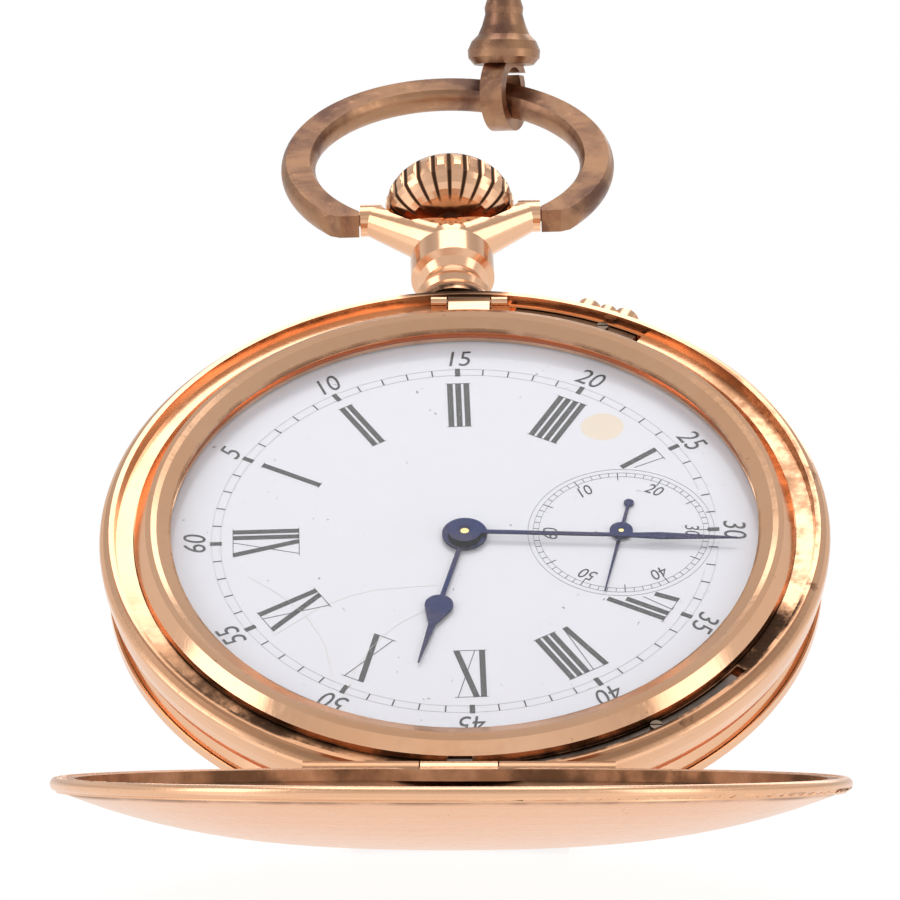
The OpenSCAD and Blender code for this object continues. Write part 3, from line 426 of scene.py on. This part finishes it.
class Print:
    """Collects thin closed prisms in the watch's frame, and makes one mesh of them."""

    def __init__(self):
        self.points = []
        self.faces = []

    def prism(self, outline):
        first = len(self.points)
        count = len(outline)
        self.points += [(x, y, z) for z in (INK_BOTTOM, INK_TOP) for x, y in outline]
        self.faces.append([first + i for i in reversed(range(count))])
        self.faces.append([first + count + i for i in range(count)])
        for i in range(count):
            j = (i + 1) % count
            self.faces.append([first + i, first + j, first + count + j, first + count + i])

    def line(self, a, b, width):
        a, b = Vector(a), Vector(b)
        along = (b - a).normalized()
        side = Vector((-along.y, along.x)) * width / 2
        self.prism([tuple(corner) for corner in (a - side, b - side, b + side, a + side)])

    def circle(self, centre, radius, width, keep=lambda p: True, steps=180):
        for i in range(steps):
            ends = [Vector(centre) + radius * Vector((math.cos(t), math.sin(t)))
                    for t in (2 * math.pi * i / steps, 2 * math.pi * (i + 1) / steps)]
            if keep(ends[0]) and keep(ends[1]):
                self.line(ends[0], ends[1], width)

    def make(self, name, material):
        mesh = bpy.data.meshes.new(name)
        mesh.from_pydata([WATCH @ Vector(p) for p in self.points], [], self.faces)
        mesh.update()
        place_on_dial(name, mesh, material)


def place_on_dial(name, mesh, material):
    """Puts a finished mesh in the scene, as a piece that rides with the case."""
    mesh.materials.append(material)
    piece = bpy.data.objects.new(name, mesh)
    bpy.context.scene.collection.objects.link(piece)
    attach(piece, "case")


def clock_angle(minutes):
    """Angle in the watch's frame: sixty is at -X, and minutes run clockwise."""
    return math.pi - math.radians(6 * minutes)


def polar(radius, angle, centre=(0.0, 0.0)):
    return Vector((centre[0] + radius * math.cos(angle), centre[1] + radius * math.sin(angle)))


# The seconds dial takes the place of six, and cuts into the numerals beside it
SUB = (SECONDS.x, 0.0)
SUB_EDGE = 6.95
HOURS = {1: "I", 2: "II", 3: "III", 4: "IIII", 5: "V", 7: "VII", 8: "VIII", 9: "IX", 10: "X", 11: "XI",
         12: "XII"}
# Widths of the letters, the radii at their feet and heads, and the widths of their strokes
GLYPH_W = {"I": 0.60, "V": 1.45, "X": 1.70}
GLYPH_GAP = 0.2
NUMERAL_IN, NUMERAL_OUT = 11.8, 16.5
THICK, THIN, SERIF = 0.42, 0.06, 0.05
SERIF_OVER = 0.02
STROKE_PARTS, SERIF_PARTS = 24, 6
# Minute track and seconds track: radii of the circles, then start, end and width of the marks
TRACK_IN, TRACK_OUT = 17.4, 18.05
TRACK_LINE = 0.008
MINUTE_MARK = (TRACK_IN, TRACK_OUT, 0.10)
FIVE_MARK = (17.3, 18.15, 0.38)
SUB_OUT, SUB_MID, SUB_IN = 6.65, 6.28, 5.88
SUB_LINE = 0.022
SECOND_MARK = (SUB_IN, SUB_MID, 0.045)
FIVE_SECOND_MARK = (5.5, SUB_MID, 0.07)
# Figures: radius of their middles and letter size
MINUTE_FIGURES = (19.15, 2.3)
SECOND_FIGURES = (5.0, 1.45)
FIGURE_SLANT = 0.18
FIGURE_SQUEEZE = 0.86


def clear_of_seconds(point):
    """True for a point that the seconds dial doesn't cover."""
    return (point - Vector(SUB)).length > SUB_EDGE


def numeral(ink, text, angle):
    """One Roman numeral, standing outward, drawn as strokes that stop at the seconds dial."""
    outward = Vector((math.cos(angle), math.sin(angle)))
    right = Vector((outward.y, -outward.x))

    def place(u, v):
        return outward * (NUMERAL_IN + v * (NUMERAL_OUT - NUMERAL_IN)) + right * u

    def stroke(u0, v0, u1, v1, width, parts=STROKE_PARTS):
        points = [place(u0 + (u1 - u0) * i / parts, v0 + (v1 - v0) * i / parts) for i in range(parts + 1)]
        kept = [i for i in range(parts) if clear_of_seconds(points[i])]
        if kept:
            ink.line(points[kept[0]], points[kept[-1] + 1], width)

    u = -sum(GLYPH_W[glyph] for glyph in text) / 2
    for glyph in text:
        w = GLYPH_W[glyph]
        mid, half = u + w / 2, w / 2 - GLYPH_GAP
        if glyph == "I":
            stroke(mid, 0, mid, 1, THICK)
        elif glyph == "V":
            stroke(mid - half, 1, mid - 0.05, 0, THICK)
            stroke(mid + half, 1, mid + 0.08, 0, THIN)
        else:
            stroke(mid - half, 1, mid + half, 0, THICK)
            stroke(mid + half, 1, mid - half, 0, THIN)
        for v in ((1,) if glyph == "V" else (0, 1)):
            stroke(u - SERIF_OVER, v, u + w + SERIF_OVER, v, SERIF, SERIF_PARTS)
        u += w


def mark(ink, angle, centre, sizes):
    start, end, width = sizes
    ink.line(polar(start, angle, centre), polar(end, angle, centre), width)


def dial_print(material):
    """The numerals, the minute track and the seconds track, as one piece."""
    ink = Print()
    for hour, text in HOURS.items():
        numeral(ink, text, clock_angle(5 * hour))
    for radius in (TRACK_IN, TRACK_OUT):
        ink.circle((0, 0), radius, TRACK_LINE, clear_of_seconds)
    for radius in (SUB_OUT, SUB_MID, SUB_IN):
        ink.circle(SUB, radius, SUB_LINE, steps=120)
    for step in range(60):
        fifth = step % 5 == 0
        mark(ink, clock_angle(step), (0, 0), FIVE_MARK if fifth else MINUTE_MARK)
        mark(ink, clock_angle(step), SUB, FIVE_SECOND_MARK if fifth else SECOND_MARK)
    ink.make("dial_print", material)


def figure(number, centre, sizes, name, material):
    """A number standing outward at its place on the main dial or the seconds dial."""
    radius, size = sizes
    angle = clock_angle(number)
    curve = bpy.data.curves.new(name, "FONT")
    curve.body = str(number)
    curve.size = size
    curve.shear = FIGURE_SLANT
    curve.extrude = INK_T / 2
    curve.align_x = "CENTER"
    curve.align_y = "CENTER"
    carrier = bpy.data.objects.new(name + "_curve", curve)
    bpy.context.scene.collection.objects.link(carrier)
    mesh = bpy.data.meshes.new_from_object(carrier.evaluated_get(bpy.context.evaluated_depsgraph_get()))
    bpy.data.objects.remove(carrier)
    spot = polar(radius, angle, centre)
    move = Matrix.Translation((spot.x, spot.y, (INK_BOTTOM + INK_TOP) / 2))
    turn = Matrix.Rotation(angle - math.pi / 2, 4, "Z")
    mesh.transform(WATCH @ move @ turn @ Matrix.Diagonal((FIGURE_SQUEEZE, 1.0, 1.0, 1.0)))
    mesh.materials.clear()
    place_on_dial(name, mesh, material)


# Ends of the hairlines, how far they bow out, how much they wander, their parts and their width
CRACKS = [((-13.5, -9.5), (-2.0, -5.0)), ((-9.0, -16.5), (-1.5, -6.5)), ((-15.5, -3.5), (-9.5, -14.5))]
CRACK_BOW, CRACK_WANDER, CRACK_PARTS, CRACK_W = 0.12, 0.07, 14, 0.045


def cracks(material):
    """Hairlines in the enamel, from near the edge at nine and ten towards the middle."""
    ink = Print()
    for ends in CRACKS:
        start, end = Vector(ends[0]), Vector(ends[1])
        along = end - start
        bow_out = Vector((-along.y, along.x)) * CRACK_BOW
        last = start
        for i in range(1, CRACK_PARTS + 1):
            t = i / CRACK_PARTS
            point = start.lerp(end, t) + bow_out * math.sin(math.pi * t)
            point += Vector(random.uniform(-CRACK_WANDER, CRACK_WANDER) for _ in range(2))
            ink.line(last, point, CRACK_W)
            last = point
    ink.make("enamel_hairlines", material)


# ---------- Stage, light and camera, in metres ----------
FLOOR_SIZE = 4.0
FLOOR_GAP = 0.0002
FLOOR_GLOW = (1.12, 1.13)
FLOOR_SHINE = 0.22
# Height from straight down (0) to straight up (1), and brightness there
SKY_BANDS = ((0.0, 0.9), (0.53, 0.9), (0.60, 0.6), (0.72, 0.85), (0.84, 0.55), (1.0, 0.75))
# Soft panels: place from the dial's centre, width and height, and power in watts
PANELS = {
    "top_panel": ((0.0, 0.05, 0.6), (0.5, 0.4), 1.2),
    "left_panel": ((-0.55, -0.25, 0.25), (0.3, 0.5), 0.9),
    "right_panel": ((0.55, -0.3, 0.2), (0.25, 0.5), 0.6),
    "back_panel": ((0.1, 0.6, 0.35), (0.5, 0.3), 0.6),
}
CAMERA_DISTANCE = 0.525
CAMERA_ELEVATION = math.radians(-0.5)
CAMERA_AZIMUTH = math.radians(1.07)
CAMERA_LENS = 295.1
AIM_RIGHT = math.radians(-0.114)
AIM_UP = math.radians(0.636)
SENSOR = 36.0


def floor():
    """A white, faintly shining floor just under the open cover."""
    cover_low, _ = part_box("front_cover")
    bpy.ops.mesh.primitive_plane_add(size=FLOOR_SIZE, location=(0, 0, cover_low[2] - FLOOR_GAP))
    plane = bpy.context.object
    plane.name = "floor"
    n = Nodes("floor_white")
    glow = n.tree.nodes.new("ShaderNodeEmission")
    n.link(n.range(n.noise(3.0), *FLOOR_GLOW), glow.inputs["Strength"])
    gloss = n.tree.nodes.new("ShaderNodeBsdfGlossy")
    gloss.inputs["Roughness"].default_value = 0.1
    blend = n.tree.nodes.new("ShaderNodeMixShader")
    blend.inputs[0].default_value = FLOOR_SHINE
    n.tree.links.new(glow.outputs[0], blend.inputs[1])
    n.tree.links.new(gloss.outputs[0], blend.inputs[2])
    n.tree.links.new(blend.outputs[0], n.tree.nodes["Material Output"].inputs["Surface"])
    plane.data.materials.append(n.material)


def surround():
    """A plain white backdrop to look at, which lights the watch in bands from the floor up to the zenith."""
    world = bpy.data.worlds.new("studio")
    bpy.context.scene.world = world
    world.use_nodes = True
    tree = world.node_tree
    links = tree.links
    back = tree.nodes["Background"]
    seen = tree.nodes.new("ShaderNodeBackground")
    seen.inputs["Color"].default_value = (1, 1, 1, 1)
    path = tree.nodes.new("ShaderNodeLightPath")
    mixer = tree.nodes.new("ShaderNodeMixShader")
    coords = tree.nodes.new("ShaderNodeTexCoord")
    split = tree.nodes.new("ShaderNodeSeparateXYZ")
    ramp = tree.nodes.new("ShaderNodeValToRGB")
    elements = ramp.color_ramp.elements
    elements[0].position, elements[1].position = SKY_BANDS[0][0], SKY_BANDS[-1][0]
    for height, _ in SKY_BANDS[1:-1]:
        elements.new(height)
    for element, (_, bright) in zip(elements, SKY_BANDS):
        element.color = (bright, bright, bright, 1)
    half = tree.nodes.new("ShaderNodeMath")
    half.operation = "MULTIPLY_ADD"
    half.inputs[1].default_value = 0.5
    half.inputs[2].default_value = 0.5
    links.new(coords.outputs["Generated"], split.inputs[0])
    links.new(split.outputs["Z"], half.inputs[0])
    links.new(half.outputs[0], ramp.inputs["Fac"])
    links.new(ramp.outputs["Color"], back.inputs["Color"])
    links.new(path.outputs["Is Camera Ray"], mixer.inputs[0])
    links.new(back.outputs[0], mixer.inputs[1])
    links.new(seen.outputs[0], mixer.inputs[2])
    links.new(mixer.outputs[0], tree.nodes["World Output"].inputs["Surface"])


def lamp(name, offset, size, power):
    """A soft panel aimed at the dial."""
    light = bpy.data.lights.new(name, "AREA")
    light.shape = "RECTANGLE"
    light.size, light.size_y = size
    light.energy = power
    holder = bpy.data.objects.new(name, light)
    holder.location = CENTRE + Vector(offset)
    holder.rotation_euler = (-Vector(offset)).to_track_quat("-Z", "Y").to_euler()
    bpy.context.scene.collection.objects.link(holder)


def camera():
    """A long lens in front of the dial, aimed a little above and left of the dial's centre."""
    data = bpy.data.cameras.new("camera")
    data.lens = CAMERA_LENS
    data.sensor_width = SENSOR
    data.clip_start = 0.01
    data.clip_end = 20
    holder = bpy.data.objects.new("camera", data)
    away = Vector((math.sin(CAMERA_AZIMUTH) * math.cos(CAMERA_ELEVATION),
                   -math.cos(CAMERA_AZIMUTH) * math.cos(CAMERA_ELEVATION), math.sin(CAMERA_ELEVATION)))
    holder.location = CENTRE + away * CAMERA_DISTANCE
    look = (-away).to_track_quat("-Z", "Y").to_matrix()
    aimed = look @ Matrix.Rotation(-AIM_RIGHT, 3, "Y") @ Matrix.Rotation(AIM_UP, 3, "X")
    holder.rotation_euler = aimed.to_euler()
    bpy.context.scene.collection.objects.link(holder)
    bpy.context.scene.camera = holder


camera()
floor()
surround()
for panel, (offset, size, power) in PANELS.items():
    lamp(panel, offset, size, power)
bpy.context.scene.view_settings.view_transform = "Standard"

dress_cad_nodes()
INK = printed_ink()
dial_print(INK)
for minute in range(5, 61, 5):
    figure(minute, (0, 0), MINUTE_FIGURES, "minute_figure_%02d" % minute, INK)
for second in range(10, 61, 10):
    figure(second, SUB, SECOND_FIGURES, "seconds_figure_%02d" % second, INK)
cracks(hairline())
